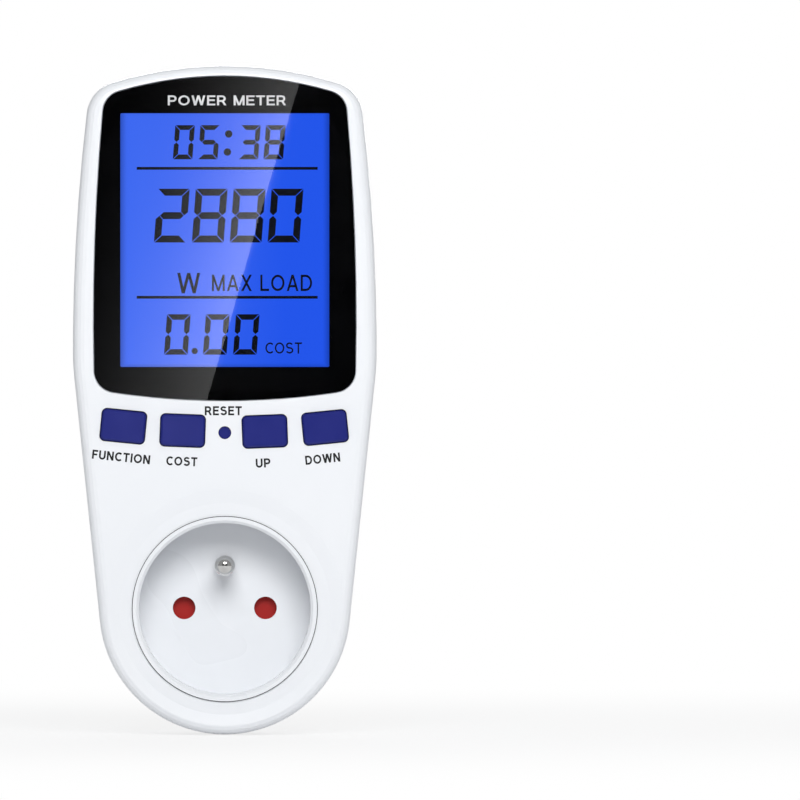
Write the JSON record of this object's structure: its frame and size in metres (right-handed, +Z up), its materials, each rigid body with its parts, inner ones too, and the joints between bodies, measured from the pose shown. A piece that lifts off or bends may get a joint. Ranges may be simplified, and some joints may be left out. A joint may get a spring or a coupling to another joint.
{
  "type": "plug in power meter",
  "caption": "White plug in power meter with a large lit display, keys under it, an earthed socket in front and an earthed plug on the back.",
  "frame": {"origin": "centre of the plug's face, midway between the two power pins where they leave the plug", "axes": "+Z up through the display, +Y out along the plug's pins into the wall, +X to the right seen from the front"},
  "size_m": [0.0706, 0.0769, 0.1556],
  "materials": {
    "shell": "satin white moulding",
    "socket": "satin white moulding",
    "window": "clear gloss acrylic",
    "black_print": "black screen print",
    "label": "matt film",
    "black_screw": "black oxide",
    "key_blue": "satin blue rubber touch plastic",
    "stem": "matt",
    "switch": "matt",
    "lcd": "lit blue display cell",
    "guide": "clear acrylic",
    "led": "moulded",
    "carrier": "matt",
    "zebra": "silicone",
    "board": "solder mask",
    "steel": "zinc plated",
    "nickel": "bright nickel plate",
    "brass": "stamped",
    "black_part": "moulded epoxy",
    "cell": "can",
    "cable": "ribbon",
    "film_cap": "box",
    "can": "sleeved can",
    "varistor": "dipped disc",
    "resistor": "lacquered",
    "shunt": "alloy strip",
    "red": "satin red moulding"
  },
  "bodies": {
    "case": {"front_housing": "shell", "rear_housing": "shell", "display_window": "window", "window_mask": "black_print", "rating_label": "label", "lower_case_screws": "black_screw", "upper_case_screw": "black_screw", "switch_bodies": "switch", "lcd_glass": "lcd", "light_guide": "guide", "backlight_leds": "led", "display_carrier": "carrier", "zebra_strip": "zebra", "display_board": "board", "display_board_screws": "steel", "display_chip": "black_part", "clock_crystal": "steel", "battery_holder": "black_part", "backup_cell": "cell", "ribbon_cable": "cable", "power_board": "board", "power_board_screws": "steel", "film_capacitor": "film_cap", "electrolytic_capacitors": "can", "metering_chip": "black_part", "varistor": "varistor", "fuse_resistor": "resistor", "shunt": "shunt", "live_busbar": "brass", "neutral_busbar": "brass", "socket_cup": "socket", "socket_earth_pin": "nickel", "shutter_spring": "steel", "contact_carrier": "carrier", "carrier_screws": "steel", "live_contact": "brass", "neutral_contact": "brass", "earth_strap": "brass", "plug_body": "socket", "live_pin": "nickel", "neutral_pin": "nickel", "earth_bracket": "nickel", "earth_sleeve": "nickel", "earth_rivet": "nickel"},
    "function_key": {"function_key": "key_blue", "function_plunger": "stem"},
    "cost_key": {"cost_key": "key_blue", "cost_plunger": "stem"},
    "up_key": {"up_key": "key_blue", "up_plunger": "stem"},
    "down_key": {"down_key": "key_blue", "down_plunger": "stem"},
    "reset_key": {"reset_key": "key_blue", "reset_plunger": "stem"},
    "shutter": {"shutter": "red"}
  },
  "joints": [
    {"name": "function_press", "type": "slide", "parent": "case", "child": "function_key", "axis": [0, 1, 0], "range_m": [0, 0.0005], "stiffness_N_per_m": 1200},
    {"name": "cost_press", "type": "slide", "parent": "case", "child": "cost_key", "axis": [0, 1, 0], "range_m": [0, 0.0005], "stiffness_N_per_m": 1200},
    {"name": "up_press", "type": "slide", "parent": "case", "child": "up_key", "axis": [0, 1, 0], "range_m": [0, 0.0005], "stiffness_N_per_m": 1200},
    {"name": "down_press", "type": "slide", "parent": "case", "child": "down_key", "axis": [0, 1, 0], "range_m": [0, 0.0005], "stiffness_N_per_m": 1200},
    {"name": "reset_press", "type": "slide", "parent": "case", "child": "reset_key", "axis": [0, 1, 0], "range_m": [0, 0.0005], "stiffness_N_per_m": 1200},
    {"name": "shutter_slide", "type": "slide", "parent": "case", "child": "shutter", "axis": [0, 0, -1], "range_m": [0, 0.0065], "stiffness_N_per_m": 60, "springref_m": -0.004, "deforming": ["shutter_spring"]}
  ]
}
